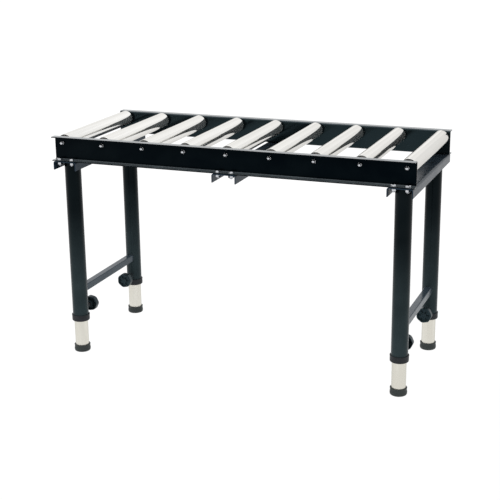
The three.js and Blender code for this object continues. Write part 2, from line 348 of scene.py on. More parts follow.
def edges(tree, width):
    """One along a piece's edges, within a width in millimetres, and zero elsewhere."""
    soft = tree.add("ShaderNodeBevel", {"Radius": width * MM}, samples=4)
    true = tree.add("ShaderNodeNewGeometry", out="Normal")
    level = tree.add(
        "ShaderNodeVectorMath",
        {"Vector": soft, "Vector_001": true},
        out="Value",
        operation="DOT_PRODUCT",
    )
    return spread(tree, level, 1.0, 0.0, *EDGE_LEVELS)


def finish(
    name,
    *,
    dark,
    light,
    worn,
    roughness,
    patch,
    grain,
    stretch=(1, 1, 1),
    bump,
    wear,
    dust_and_highlight=None,
    painted_floor_reflection=None,
    shader,
):
    """A procedural finish.

    dark and light: the colours between which patches drift
    worn, wear: the colour of rubbed edges; their width in millimetres and their strength
    roughness: its least and its most
    patch, grain: sizes in millimetres, drawn out along an axis by stretch
    bump: the height of the grain in millimetres
    dust_and_highlight: the colour laid on faces that look up: dust, and on the rails mostly a
    painted highlight
    painted_floor_reflection: the colour of a painted reflection of the pale floor, and the heights
    in metres where it starts and where it is full
    shader: what the Principled shader takes as constants
    """
    material = bpy.data.materials.new(name)
    material.use_nodes = True
    tree = Tree(material.node_tree)
    principled = material.node_tree.nodes["Principled BSDF"]
    place = tree.add("ShaderNodeTexCoord", out="Object")
    patches = noise(tree, place, patch, stretch, detail=4.0)
    grains = noise(tree, place, grain, stretch, detail=2.0)
    colour = blend(tree, spread(tree, patches, 0.0, 1.0), (*dark, 1), (*light, 1))
    edge_width, edge_strength = wear
    chips = noise(tree, place, patch / CHIPS_PER_PATCH, detail=5.0)
    chips = spread(tree, chips, 0.0, edge_strength, *CHIP_LEVELS)
    rubbed = tree.math("MULTIPLY", edges(tree, edge_width), chips)
    colour = blend(tree, rubbed, colour, (*worn, 1))
    # A painted reflection of the pale floor: the colour turns lighter towards the bottom, in
    # patches.
    if painted_floor_reflection:
        reflection_colour, start, full = painted_floor_reflection
        height = tree.add("ShaderNodeSeparateXYZ", {"Vector": place}, out="Z")
        share = tree.math(
            "MULTIPLY",
            spread(tree, height, 1.0, 0.0, full, start),
            spread(tree, patches, *FLOOR_REFLECTION_PATCHES),
        )
        colour = blend(tree, share, colour, (*reflection_colour, 1))
    # Dust on faces that look up, and a painted highlight: flanges and bends are lightened as light
    # falling on them would lighten them.
    if dust_and_highlight:
        normal = tree.add("ShaderNodeNewGeometry", out="Normal")
        upward = tree.add("ShaderNodeSeparateXYZ", {"Vector": normal}, out="Z")
        share = tree.math(
            "MULTIPLY",
            spread(tree, upward, 0.0, 1.0, *UPWARD_LEVELS),
            spread(tree, patches, *DUST_AND_HIGHLIGHT_PATCHES),
        )
        colour = blend(tree, share, colour, (*dust_and_highlight, 1))
    rough = tree.math(
        "ADD",
        spread(tree, patches, *roughness),
        spread(tree, grains, -GRAIN_ROUGHNESS, GRAIN_ROUGHNESS),
    )
    relief = tree.add(
        "ShaderNodeBump",
        {"Height": grains, "Strength": BUMP_STRENGTH, "Distance": bump * MM},
        out="Normal",
    )
    links = material.node_tree.links
    links.new(colour, principled.inputs["Base Color"])
    links.new(rough, principled.inputs["Roughness"])
    links.new(relief, principled.inputs["Normal"])
    for socket, value in shader.items():
        principled.inputs[socket].default_value = value
    return material


# Both rails carry one black gloss paint, made here as painted shaded and lit copies. The front
# copy is darker with almost no reflection at its face, which is painted shade. The rear copy is
# lighter with a stronger bluish reflection, which is painted reflection. Their dust colours
# lighten flanges and bends: dust with a painted highlight, strongest on the front rail.
FRONT_RAIL_SHADED_PAINT = finish(
    "front_rail_black_gloss_shaded_copy",
    dark=(0.0006, 0.0014, 0.002),
    light=(0.0022, 0.0038, 0.0045),
    worn=(0.05, 0.055, 0.058),
    roughness=(0.1, 0.18),
    patch=70,
    grain=2.5,
    bump=0.006,
    wear=(0.5, 0.5),
    dust_and_highlight=(0.125, 0.147, 0.16),
    shader={"IOR": 1.45, "Specular Tint": (0.02, 0.05, 0.08, 1)},
)
REAR_RAIL_LIT_PAINT = finish(
    "rear_rail_black_gloss_lit_copy",
    dark=(0.0035, 0.0055, 0.0065),
    light=(0.006, 0.0088, 0.0102),
    worn=(0.05, 0.055, 0.058),
    roughness=(0.1, 0.18),
    patch=70,
    grain=2.5,
    bump=0.006,
    wear=(0.5, 0.5),
    dust_and_highlight=(0.075, 0.086, 0.093),
    shader={"IOR": 1.4, "Specular Tint": (0.4, 0.66, 0.76, 1)},
)
CHANNEL_PAINT = finish(
    "channel_blue_black_satin",
    dark=(0.014, 0.024, 0.036),
    light=(0.022, 0.034, 0.05),
    worn=(0.06, 0.066, 0.075),
    roughness=(0.24, 0.3),
    patch=50,
    grain=2.5,
    bump=0.003,
    wear=(0.5, 0.5),
    dust_and_highlight=(0.024, 0.033, 0.044),
    shader={"IOR": 1.24, "Specular Tint": (0.25, 0.5, 0.7, 1)},
)
LEG_PAINT = finish(
    "leg_blue_black_gloss",
    dark=(0.0014, 0.0028, 0.0034),
    light=(0.003, 0.005, 0.0058),
    worn=(0.06, 0.066, 0.07),
    roughness=(0.16, 0.26),
    patch=70,
    grain=2,
    bump=0.008,
    wear=(0.6, 0.5),
    dust_and_highlight=(0.04, 0.046, 0.05),
    # Lighter towards the bottom: a painted reflection of the floor.
    painted_floor_reflection=((0.03, 0.044, 0.048), 0.42, 0.19),
    shader={"IOR": 1.25, "Specular Tint": (0.3, 0.42, 0.48, 1)},
)
# The braces carry the legs' black gloss paint. Their colour is lightened to a blue grey, which is
# painted sheen and reflection.
BRACE_PAINT = finish(
    "brace_black_gloss_painted_sheen",
    dark=(0.044, 0.062, 0.078),
    light=(0.058, 0.08, 0.098),
    worn=(0.12, 0.14, 0.15),
    roughness=(0.16, 0.26),
    patch=40,
    grain=2,
    bump=0.006,
    wear=(0.5, 0.5),
    dust_and_highlight=(0.035, 0.05, 0.066),
    shader={"IOR": 1.3, "Specular Tint": (0.3, 0.45, 0.6, 1)},
)
ROLLER_STEEL = finish(
    "roller_drawn_steel",
    dark=(0.87, 0.862, 0.838),
    light=(0.93, 0.923, 0.9),
    worn=(0.88, 0.85, 0.81),
    roughness=(0.06, 0.1),
    patch=22,
    grain=0.8,
    stretch=(1, 14, 1),
    bump=0.001,
    wear=(0.6, 0.6),
    shader={"Metallic": 0.9, "Specular Tint": (0.7, 0.69, 0.67, 1)},
)
INNER_ZINC = finish(
    "inner_leg_warm_zinc",
    dark=(0.7, 0.68, 0.61),
    light=(0.8, 0.78, 0.71),
    worn=(0.85, 0.84, 0.8),
    roughness=(0.26, 0.38),
    patch=18,
    grain=1,
    stretch=(1, 1, 12),
    bump=0.006,
    wear=(0.6, 0.6),
    shader={"Metallic": 1.0, "Specular Tint": (0.75, 0.75, 0.74, 1)},
)
BOLT_ZINC = finish(
    "fastener_bright_zinc",
    dark=(0.46, 0.475, 0.5),
    light=(0.62, 0.635, 0.66),
    worn=(0.85, 0.86, 0.87),
    roughness=(0.08, 0.14),
    patch=4,
    grain=0.5,
    bump=0.004,
    wear=(0.3, 0.7),
    shader={"Metallic": 1.0},
)
# Darker and browner than the zinc: partly the caps' own tone, partly a painted reflection of the
# dark rail.
CAP_STEEL = finish(
    "roller_cap_pressed_steel",
    dark=(0.3, 0.28, 0.26),
    light=(0.42, 0.4, 0.37),
    worn=(0.6, 0.58, 0.56),
    roughness=(0.34, 0.48),
    patch=7,
    grain=0.7,
    bump=0.012,
    wear=(0.4, 0.6),
    shader={"Metallic": 0.8},
)
BEARING_SEAL = finish(
    "bearing_black_seal",
    dark=(0.02, 0.018, 0.017),
    light=(0.035, 0.032, 0.03),
    worn=(0.07, 0.066, 0.063),
    roughness=(0.5, 0.65),
    patch=3,
    grain=0.4,
    bump=0.01,
    wear=(0.3, 0.4),
    shader={"IOR": 1.45},
)
# The stud is drawn near black, which darkens the gap between knob and leg.
STUD_STEEL = finish(
    "stud_near_black_steel",
    dark=(0.022, 0.022, 0.024),
    light=(0.045, 0.045, 0.048),
    worn=(0.12, 0.12, 0.125),
    roughness=(0.34, 0.46),
    patch=4,
    grain=0.5,
    bump=0.01,
    wear=(0.3, 0.6),
    shader={"Metallic": 0.9},
)
COLLAR_PLASTIC = finish(
    "collar_black_plastic",
    dark=(0.015, 0.0165, 0.02),
    light=(0.023, 0.0255, 0.03),
    worn=(0.05, 0.05, 0.055),
    roughness=(0.4, 0.52),
    patch=9,
    grain=0.45,
    bump=0.025,
    wear=(0.5, 0.4),
    shader={"IOR": 1.3},
)
KNOB_PLASTIC = finish(
    "knob_black_plastic",
    dark=(0.009, 0.0145, 0.017),
    light=(0.014, 0.022, 0.025),
    worn=(0.04, 0.045, 0.047),
    roughness=(0.3, 0.42),
    patch=10,
    grain=0.5,
    bump=0.02,
    wear=(0.6, 0.4),
    shader={"IOR": 1.42, "Specular Tint": (0.4, 0.66, 0.8, 1)},
)
FOOT_RUBBER = finish(
    "foot_grey_rubber",
    dark=(0.018, 0.024, 0.024),
    light=(0.028, 0.036, 0.035),
    worn=(0.07, 0.076, 0.08),
    roughness=(0.5, 0.65),
    patch=8,
    grain=0.5,
    bump=0.03,
    wear=(0.7, 0.5),
    shader={"IOR": 1.45},
)


# ---------------------------------------------------------------- pressed channels


def channel_outline(web, depth, sheet, bend):
    """A pressed channel's section: the web's outer face at 0, the flanges' ends at depth."""
    half = web / 2
    return rounded(
        [
            (0, -half, bend + sheet),
            (depth, -half),
            (depth, sheet - half),
            (sheet, sheet - half, bend),
            (sheet, half - sheet, bend),
            (depth, half - sheet),
            (depth, half),
            (0, half, bend + sheet),
        ],
        steps=8,
    )


def bore(bm, direction, centre, radius, length):
    """Adds a round cutter through a centre, longer than the wall is thick."""
    half = length / 2
    profile = [(0, -half), (radius, -half), (radius, half), (0, half)]
    return loft(bm, turned(profile, HOLE_SIDES), along(direction, centre))


def row(count, pitch):
    """Places of a centred row."""
    return [(i - (count - 1) / 2) * pitch for i in range(count)]


BOLT_PLACES = [x + part for x in CHANNEL_PLACES.values() for part in row(2, BOLT_SPACING)]

for side, out, paint in (("front", -1, FRONT_RAIL_SHADED_PAINT), ("rear", 1, REAR_RAIL_LIT_PAINT)):
    section = channel_outline(RAIL_HEIGHT, RAIL_DEPTH, RAIL_SHEET, RAIL_BEND)
    middle = (0, out * RAIL_WEB, RAIL_BOTTOM + RAIL_HEIGHT / 2)
    bar = prism(bmesh.new(), section, RAIL_LENGTH, facing((0, out, 0), (0, 0, 1), middle))
    rail = mesh_object(f"{side}_rail_pressing", soften(bar, SHEET_EDGE), paint)
    holes = bmesh.new()
    for x in row(ROLLER_COUNT, ROLLER_PITCH):
        bore(holes, (0, 1, 0), (x, out * RAIL_WEB, AXLE_HEIGHT), AXLE_HOLE, 8 * RAIL_SHEET)
    for x in BOLT_PLACES:
        bore(holes, (0, 0, 1), (x, out * BOLT_OUT, RAIL_BOTTOM), BOLT_HOLE, 4 * RAIL_SHEET)
    piece(drill(rail, holes), "frame", "black_paint", f"{side}_rail")

for name, x in CHANNEL_PLACES.items():
    section = channel_outline(CHANNEL_WIDTH, CHANNEL_DEPTH, CHANNEL_SHEET, CHANNEL_BEND)
    length = 2 * (RAIL_WEB + RAIL_DEPTH)
    bar = prism(bmesh.new(), section, length, facing((0, 0, -1), (1, 0, 0), (x, 0, CHANNEL_TOP)))
    cross = mesh_object(f"{name}_cross_channel_pressing", soften(bar, SHEET_EDGE), CHANNEL_PAINT)
    holes = bmesh.new()
    for part in row(2, BOLT_SPACING):
        for y in (-BOLT_OUT, BOLT_OUT):
            bore(holes, (0, 0, 1), (x + part, y, CHANNEL_TOP), BOLT_HOLE, 4 * CHANNEL_SHEET)
    piece(drill(cross, holes), "frame", "black_paint", f"cross_channel_{name}")


# ---------------------------------------------------------------- rollers and axles


def mirrored(profile):
    """A profile of (radius, height) at the other end of a roller."""
    return [(radius, -height) for radius, height in reversed(profile)]


ROLLER_PROFILE = pipe(ROLLER_RADIUS, ROLLER_BORE, -ROLLER_HALF, ROLLER_HALF, 0.7, 0.3)
CAP_FACE = ROLLER_HALF - 2
CAP_PROFILE = rounded(
    [
        (ROLLER_BORE - THREAD_GAP, CAP_FACE - 8),
        (ROLLER_BORE - THREAD_GAP, CAP_FACE, 1.2),
        (15.2, CAP_FACE, 0.6),
        (14.2, CAP_FACE - 1.3, 0.6),
        (11.6, CAP_FACE - 1.3, 0.4),
        (11.6, CAP_FACE - 8),
        (12.9, CAP_FACE - 8),
        (12.9, CAP_FACE - 2.8, 0.5),
        (17.5, CAP_FACE - 2, 0.8),
        (17.5, CAP_FACE - 8),
    ]
)
SEAL_INNER, SEAL_OUTER = 7.3, 9.4
BEARING_PROFILE = rounded(
    [
        (AXLE_RADIUS + TUBE_GAP, CAP_FACE - 7.8),
        (AXLE_RADIUS + TUBE_GAP, CAP_FACE - 1, 0.3),
        (SEAL_INNER, CAP_FACE - 1, 0.3),
        (SEAL_INNER, CAP_FACE - 1.8),
        (SEAL_OUTER, CAP_FACE - 1.8),
        (SEAL_OUTER, CAP_FACE - 1.4, 0.15),
        (11.5, CAP_FACE - 1.4, 0.4),
        (11.5, CAP_FACE - 7.8),
    ]
)

AXLE_END = AXLE_SHOULDER + AXLE_TAIL
shaft = [
    (0, AXLE_END),
    (AXLE_THREAD - 0.6, AXLE_END),
    (AXLE_THREAD, AXLE_END - 0.6),
    (AXLE_THREAD, AXLE_SHOULDER),
    (AXLE_RADIUS - 0.4, AXLE_SHOULDER),
    (AXLE_RADIUS, AXLE_SHOULDER - 0.4),
]

for number, x in enumerate(row(ROLLER_COUNT, ROLLER_PITCH), 1):
    body, node = f"turning_roller_{number}", f"roller_{number}"
    lengthwise = along((0, 1, 0), (x, 0, AXLE_HEIGHT))
    tube = loft(bmesh.new(), turned(ROLLER_PROFILE), lengthwise, closed=True)
    piece(mesh_object(f"roller_tube_{number}", tube, ROLLER_STEEL), body, "roller_steel", node)
    for part, profile, material in (
        ("roller_caps", CAP_PROFILE, CAP_STEEL),
        ("roller_bearings", BEARING_PROFILE, BOLT_ZINC),
    ):
        both = bmesh.new()
        for end in (profile, mirrored(profile)):
            loft(both, turned(end, SMALL_SIDES), lengthwise, closed=True)
        ends = mesh_object(f"{part}_{number}", both, material)
        if part == "roller_bearings":
            ends.data.materials.append(BEARING_SEAL)
            for face in ends.data.polygons:
                away = math.hypot(face.center.x / MM - x, face.center.z / MM - AXLE_HEIGHT)
                if SEAL_INNER < away < SEAL_OUTER and abs(face.normal.y) > 0.9:
                    face.material_index = 1
        piece(ends, body, "zinc_plate", node)
    axle = loft(bmesh.new(), turned(shaft + mirrored(shaft), HOLE_SIDES), lengthwise)
    axle = mesh_object(f"axle_shaft_{number}", axle, BOLT_ZINC)
    piece(axle, "frame", "zinc_plate", f"roller_axle_{number}")


# ---------------------------------------------------------------- fasteners

THREAD_SIDES, THREAD_STEPS = 24, 6  # points in a turn, rings in a pitch
THREAD_DEPTH = 0.6  # of the pitch
HEX_CORNER = 0.2  # how far a chamfer's circle lies inside a hexagon's flats


def threaded(radius, pitch, start, end):
    """Rings of a screw thread about Z, with a small chamfer at its start."""
    depth = THREAD_DEPTH * pitch
    count = math.ceil((end - start) / (pitch / THREAD_STEPS))
    rings = []
    for i in range(count + 1):
        height = start + (end - start) * i / count
        limit = radius - depth + min(depth, height - start)

        def crest(angle, height=height, limit=limit):
            phase = (height / pitch - angle / math.tau) % 1
            return min(limit, radius - depth * abs(2 * phase - 1))

        rings.append(ring(crest, height, THREAD_SIDES))
    return rings


def hex_block(bm, flats, bottom, top, hole=0, both_ends=False):
    """A hexagon block, chamfered at its top or at both ends, with a hole if one is given."""
    face = flats / 2 - HEX_CORNER
    cut, low, high = 0.55, 0.33, 0.66  # the chamfer's rings: outwards, and along the block
    if both_ends:
        rings = [
            ring(hexagon(flats, face), bottom, SMALL_SIDES),
            ring(hexagon(flats, face + cut), bottom + low, SMALL_SIDES),
            ring(hexagon(flats), bottom + high, SMALL_SIDES),
        ]
    else:
        rings = [ring(hexagon(flats), bottom, SMALL_SIDES)]
    rings += [
        ring(hexagon(flats), top - high, SMALL_SIDES),
        ring(hexagon(flats, face + cut), top - low, SMALL_SIDES),
        ring(hexagon(flats, face), top, SMALL_SIDES),
    ]
    if hole:
        rings += [ring(hole, top, SMALL_SIDES), ring(hole, bottom, SMALL_SIDES)]
        return loft(bm, rings, closed=True)
    return loft(bm, [ring(0, bottom)] + rings + [ring(0, top)])


def cap_nut():
    """A domed cap nut about Z, seated on z = 0."""
    dome = [
        (CAP_NUT_DOME * math.cos(a), CAP_NUT_HEIGHT - CAP_NUT_DOME * (1 - math.sin(a)))
        for a in QUARTER_TURN
    ]
    face = CAP_NUT_FLATS / 2 - HEX_CORNER
    body = [
        (0, CAP_NUT_BORE),
        (AXLE_THREAD + 0.1, CAP_NUT_BORE - 1),
        (AXLE_THREAD + 0.1, 0.3),
        (AXLE_THREAD + 0.5, 0),
        (hexagon(CAP_NUT_FLATS, face), 0),
        (hexagon(CAP_NUT_FLATS, face + 0.6), 0.35),
        (hexagon(CAP_NUT_FLATS), 0.8),
        (hexagon(CAP_NUT_FLATS), CAP_NUT_HEX - 0.7),
        (hexagon(CAP_NUT_FLATS, face + 0.5), CAP_NUT_HEX - 0.25),
        (CAP_NUT_DOME, CAP_NUT_HEX),
    ]
    return loft(bmesh.new(), turned(body + dome, SMALL_SIDES))


def frame_bolt():
    """A hexagon bolt with its nut, pointing down, the clamped flange's top face on z = 0."""
    nut_top, nut_bottom = -BOLT_GRIP - SEAT_GAP, -BOLT_GRIP - BOLT_NUT
    tip = nut_bottom - BOLT_TAIL
    bm = hex_block(bmesh.new(), BOLT_FLATS, SEAT_GAP, BOLT_HEAD)
    hex_block(bm, BOLT_FLATS, nut_bottom, nut_top, BOLT_THREAD + THREAD_GAP, both_ends=True)
    thread = threaded(BOLT_THREAD, BOLT_PITCH, tip, -BOLT_GRIP + 0.2)
    shank = [(BOLT_THREAD, -BOLT_GRIP + 0.4), (BOLT_THREAD, 0.03), (0, 0.03)]
    return loft(bm, [ring(0, tip)] + thread + turned(shank, THREAD_SIDES))


def open_tree(name, *named):
    """An empty geometry tree with named inputs, as a tree and the sockets that it is given."""
    group = bpy.data.node_groups.new(name, "GeometryNodeTree")
    for title, kind in named:
        socket = f"NodeSocket{kind}"
        group.interface.new_socket(title, in_out="INPUT", socket_type=socket)
    group.interface.new_socket("Geometry", in_out="OUTPUT", socket_type="NodeSocketGeometry")
    return Tree(group), group.nodes.new("NodeGroupInput").outputs


def close_tree(tree, shape, material):
    """Ends a geometry tree with a real mesh in a material."""
    real = tree.add("GeometryNodeRealizeInstances", {"Geometry": shape})
    painted = tree.add("GeometryNodeSetMaterial", {"Geometry": real, "Material": material})
    output = tree.base.nodes.new("NodeGroupOutput")
    tree.base.links.new(painted, output.inputs["Geometry"])
    return tree.base


def fastener_rows():
    """A node tree that sets groups of a fastener along both rails, each turned by chance."""
    tree, given = open_tree(
        "fastener_rows",
        ("Fastener", "Object"),
        ("Groups", "Int"),
        ("Group Pitch", "Float"),
        ("Count", "Int"),
        ("Pitch", "Float"),
        ("Seat", "Vector"),
        ("Tilt", "Vector"),
        ("Twist", "Float"),
        ("Seed", "Int"),
        ("Material", "Material"),
    )

    def line(count, pitch):
        gaps = tree.math("SUBTRACT", given[count], 1.0)
        first = tree.math("MULTIPLY", tree.math("MULTIPLY", gaps, given[pitch]), -0.5)
        start = tree.add("ShaderNodeCombineXYZ", {"X": first})
        step = tree.add("ShaderNodeCombineXYZ", {"X": given[pitch]})
        return tree.add(
            "GeometryNodeMeshLine",
            {"Count": given[count], "Start Location": start, "Offset": step},
        )

    seats = tree.add(
        "GeometryNodeInstanceOnPoints",
        {"Points": line("Groups", "Group Pitch"), "Instance": line("Count", "Pitch")},
    )
    seats = tree.add("GeometryNodeRealizeInstances", {"Geometry": seats})
    shape = tree.add("GeometryNodeObjectInfo", {"Object": given["Fastener"]}, out="Geometry")
    tilt = tree.add("FunctionNodeEulerToRotation", {"Euler": given["Tilt"]})
    placed = tree.add(
        "GeometryNodeInstanceOnPoints", {"Points": seats, "Instance": shape, "Rotation": tilt}
    )
    chance = tree.add(
        "FunctionNodeRandomValue",
        {
            "Min_001": tree.math("MULTIPLY", given["Twist"], -1.0),
            "Max_001": given["Twist"],
            "Seed": given["Seed"],
        },
        out="Value_001",
        data_type="FLOAT",
    )
    twist = tree.add("ShaderNodeCombineXYZ", {"Z": chance})
    twist = tree.add("FunctionNodeEulerToRotation", {"Euler": twist})
    placed = tree.add(
        "GeometryNodeRotateInstances",
        {"Instances": placed, "Rotation": twist, "Local Space": True},
    )
    front = tree.add("GeometryNodeTransform", {"Geometry": placed, "Translation": given["Seat"]})
    half_turn = tree.add("FunctionNodeEulerToRotation", {"Euler": (0, 0, math.pi)})
    rear = tree.add("GeometryNodeTransform", {"Geometry": front, "Rotation": half_turn})
    both = tree.base.nodes.new("GeometryNodeJoinGeometry")
    for part in (front, rear):
        tree.base.links.new(part, both.inputs["Geometry"])
    return close_tree(tree, both.outputs["Geometry"], given["Material"])


def grown(name, bm, group, inputs):
    """The plain mesh that a node tree makes on an object."""
    obj = mesh_object(name, bm)
    modifier = obj.modifiers.new("tree", "NODES")
    modifier.node_group = group
    for socket in group.interface.items_tree:
        if socket.item_type == "SOCKET" and socket.name in inputs:
            modifier[socket.identifier] = inputs[socket.name]
    return settle(obj)


ROWS = fastener_rows()
for name, shape, inputs, nodes in (
    (
        "axle_cap_nuts",
        cap_nut(),
        {
            "Groups": 1,
            "Group Pitch": 0.0,
            "Count": ROLLER_COUNT,
            "Pitch": ROLLER_PITCH * MM,
            "Seat": (0, -(RAIL_WEB + RAIL_SHEET + SEAT_GAP) * MM, AXLE_HEIGHT * MM),
            "Tilt": (math.pi / 2, 0, 0),
            "Seed": 3,
        },
        [f"roller_axle_{i + 1}" for i in range(ROLLER_COUNT)],
    ),
    (
        "frame_bolts",
        frame_bolt(),
        {
            "Groups": 3,
            "Group Pitch": CHANNEL_PLACES["right"] * MM,
            "Count": 2,
            "Pitch": BOLT_SPACING * MM,
            "Seat": (0, -BOLT_OUT * MM, (RAIL_BOTTOM + RAIL_SHEET) * MM),
            "Tilt": (0, 0, 0),
            "Seed": 8,
        },
        [f"frame_bolt_{side}_{i + 1}" for side in ("front", "rear") for i in range(6)],
    ),
):
    pattern = mesh_object("pattern", shape)
    inputs.update({"Fastener": pattern, "Twist": math.radians(30), "Material": BOLT_ZINC})
    fixed = grown(name, bmesh.new(), ROWS, inputs)
    bpy.data.objects.remove(pattern)
    piece(fixed, "frame", "zinc_plate", *nodes)


# ---------------------------------------------------------------- legs

COLLAR_PROFILE = rounded(
    [
        (INNER_RADIUS + TUBE_GAP, 0, 0.4),
        (24.8, 0, 3),
        (24.8, 13, 4),
        (25.4, 18, 0.6),
        (TUBE_RADIUS + TUBE_GAP, 18, 0.4),
        (TUBE_RADIUS + TUBE_GAP, 3, 0.3),
        (INNER_RADIUS + TUBE_GAP, 3, 0.4),
    ]
)
FOOT_PROFILE = rounded(
    [
        (0, 0),
        (22.4, 0, 4.2),
        (22.9, 8, 5),
        (21.8, 15, 2),
        (22.8, 20, 0.6),
        (INNER_RADIUS + TUBE_GAP, 20, 0.4),
        (INNER_RADIUS + TUBE_GAP, 4, 0.4),
        (0, 4),
    ],
    steps=6,
)


def knob_rings():
    """Rings of the knob's grip, at radii and distances from the leg's axis.

    It has a ribbed face with a boss, a lobed rim, a hollow back and a hub.
    """

    def lobed(base):
        return lambda angle: base - KNOB_FLUTE / 2 * (1 - math.cos(KNOB_LOBES * angle))

    def ribbed(low, high):
        return lambda angle: low + (high - low) * max(0, math.cos(KNOB_RIBS * angle)) ** 8

    rim = KNOB_RADIUS
    face = [
        (0, 70.6),
        (3.6, 70.6),
        (4.2, 70),
        (4.8, 70.6),
        (6.6, 71.2),
        (7.4, 71),
        (8.2, ribbed(67.8, 70.9)),
        (15.6, ribbed(67.4, 70.9)),
        (lobed(16.8), 70.9),
    ]
    edge = [(lobed(rim - 3 + 3 * math.sin(a)), 68.5 + 3 * math.cos(a)) for a in QUARTER_TURN]
    back = [
        (lobed(rim), 56),
        (lobed(rim - 0.4), 54.9),
        (lobed(rim - 1.2), 54.5),
        (lobed(rim - 2.4), 54.6),
        (lobed(rim - 2.8), 55.4),
        (lobed(rim - 3.1), ribbed(62, 58)),
        (lobed(rim - 4.6), ribbed(63.6, 58)),
        (11.6, ribbed(63.8, 58)),
        (10.3, ribbed(63, 57)),
        (10, 50),
        (9.2, 48.6),
        (8.6, 48.4),
        (5.6, 48.4),
        (5.1, 49),
        (5.1, 56),
        (0, 56),
    ]
    return turned(face + edge + back, KNOB_SIDES)


def curve_depth(x):
    """How far a leg tube's surface lies from its axis plane, at x across it."""
    return math.sqrt(TUBE_RADIUS**2 - x**2)


def add_loop(bm, points):
    """Adds a closed loop of edges."""
    verts = [bm.verts.new(p) for p in points]
    for a, b in zip(verts, verts[1:] + verts[:1]):
        bm.edges.new((a, b))


def weld_tree():
    """A node tree that lays a rippled weld bead along each closed loop of edges."""
    tree, given = open_tree(
        "weld_beads",
        ("Geometry", "Geometry"),
        ("Bead Radius", "Float"),
        ("Ripple Pitch", "Float"),
        ("Ripple Depth", "Float"),
        ("Material", "Material"),
    )
    path = tree.add("GeometryNodeMeshToCurve", {"Mesh": given["Geometry"]})
    step = tree.math("MULTIPLY", given["Ripple Pitch"], 0.2)
    path = tree.add("GeometryNodeResampleCurve", {"Curve": path, "Length": step}, mode="LENGTH")
    gone = tree.add("GeometryNodeSplineParameter", out="Length")
    ripples = tree.math("DIVIDE", gone, given["Ripple Pitch"])
    wave = tree.math("SINE", tree.math("MULTIPLY", ripples, math.pi))
    dip = tree.math("MULTIPLY", tree.math("ABSOLUTE", wave), given["Ripple Depth"])
    section = tree.add(
        "GeometryNodeCurvePrimitiveCircle", {"Resolution": 10, "Radius": given["Bead Radius"]}
    )
    thickness = tree.math("ADD", dip, 0.8)
    bead = tree.add(
        "GeometryNodeCurveToMesh", {"Curve": path, "Profile Curve": section, "Scale": thickness}
    )
    return close_tree(tree, bead, given["Material"])


TUBE_TOP = TUBE_BOTTOM + TUBE_LENGTH
OUTER_PROFILE = pipe(TUBE_RADIUS, TUBE_RADIUS - TUBE_WALL, TUBE_BOTTOM, TUBE_TOP, 0.4, 0.4)
INNER_PROFILE = pipe(
    INNER_RADIUS, INNER_RADIUS - INNER_WALL, INNER_BOTTOM, INNER_BOTTOM + INNER_LENGTH, 0.5, 0.4
)
BEAD_OUT = 0.6  # from the side of a welded part to the middle of its bead

welds = bmesh.new()
for corner, x, y in CORNERS:
    inward = 1 if y < 0 else -1
    upright = Matrix.Translation((x, y, 0))
    across = along((0, inward, 0), (x, y, LOCK_HEIGHT))

    tube = loft(bmesh.new(), turned(OUTER_PROFILE), upright, closed=True)
    tube = mesh_object(f"outer_leg_{corner}", tube, LEG_PAINT)
    wall = (x, y + inward * TUBE_RADIUS, LOCK_HEIGHT)
    hole = bore(bmesh.new(), (0, inward, 0), wall, LOCK_HOLE, 6 * TUBE_WALL)
    piece(drill(tube, hole), "frame", "leg_paint", f"leg_tube_{corner}")

    nut = hex_block(bmesh.new(), LOCK_NUT_FLATS, LOCK_NUT_START, LOCK_NUT_END, LOCK_NUT_BORE)
    bmesh.ops.transform(nut, matrix=across, verts=nut.verts)
    nut = mesh_object(f"lock_nut_{corner}", nut, LEG_PAINT)
    piece(nut, "frame", "leg_paint", f"leg_tube_{corner}")

    collar = turned([(radius, height + COLLAR_BOTTOM) for radius, height in COLLAR_PROFILE])
    collar = loft(bmesh.new(), collar, upright, closed=True)
    collar = mesh_object(f"guide_collar_{corner}", collar, COLLAR_PLASTIC)
    piece(collar, "frame", "black_plastic", f"leg_collar_{corner}")

    inner = loft(bmesh.new(), turned(INNER_PROFILE), upright, closed=True)
    inner = mesh_object(f"sliding_leg_{corner}", inner, INNER_ZINC)
    piece(inner, f"leg_{corner}", "bright_tube", f"inner_leg_{corner}")

    foot = loft(bmesh.new(), turned(FOOT_PROFILE), upright)
    foot = mesh_object(f"rubber_foot_{corner}", foot, FOOT_RUBBER)
    piece(foot, f"leg_{corner}", "foot_rubber", f"foot_cap_{corner}")

    grip = loft(bmesh.new(), knob_rings(), across)
    grip = mesh_object(f"knob_grip_{corner}", grip, KNOB_PLASTIC)
    piece(grip, f"knob_{corner}", "black_plastic", f"lock_knob_{corner}")
    screw = threaded(STUD_RADIUS, STUD_PITCH, STUD_START, STUD_END)
    screw = loft(bmesh.new(), [ring(0, STUD_START)] + screw + [ring(0, STUD_END)], across)
    screw = mesh_object(f"lock_stud_{corner}", screw, STUD_STEEL)
    piece(screw, f"knob_{corner}", "black_plastic", f"lock_knob_{corner}")

    top = ring(TUBE_RADIUS + 0.7, TUBE_TOP - 0.6, SMALL_SIDES)
    add_loop(welds, [upright @ Vector(point) for point in top])
    nut_outline = [point[:2] for point in ring(hexagon(LOCK_NUT_FLATS + 2 * BEAD_OUT), 0, 36)]
    brace_outline = square(BRACE_HALF + BEAD_OUT, 3)
    for outline, height in ((nut_outline, LOCK_HEIGHT), (brace_outline, BRACE_HEIGHT)):
        add_loop(welds, [(x + u, y + inward * curve_depth(u), height + v) for u, v in outline])

beads = grown(
    "weld_beads",
    welds,
    weld_tree(),
    {
        "Bead Radius": 1.5 * MM,
        "Ripple Pitch": 2.2 * MM,
        "Ripple Depth": 0.22,
        "Material": LEG_PAINT,
    },
)
piece(beads, "frame", "leg_paint", sharp=60)

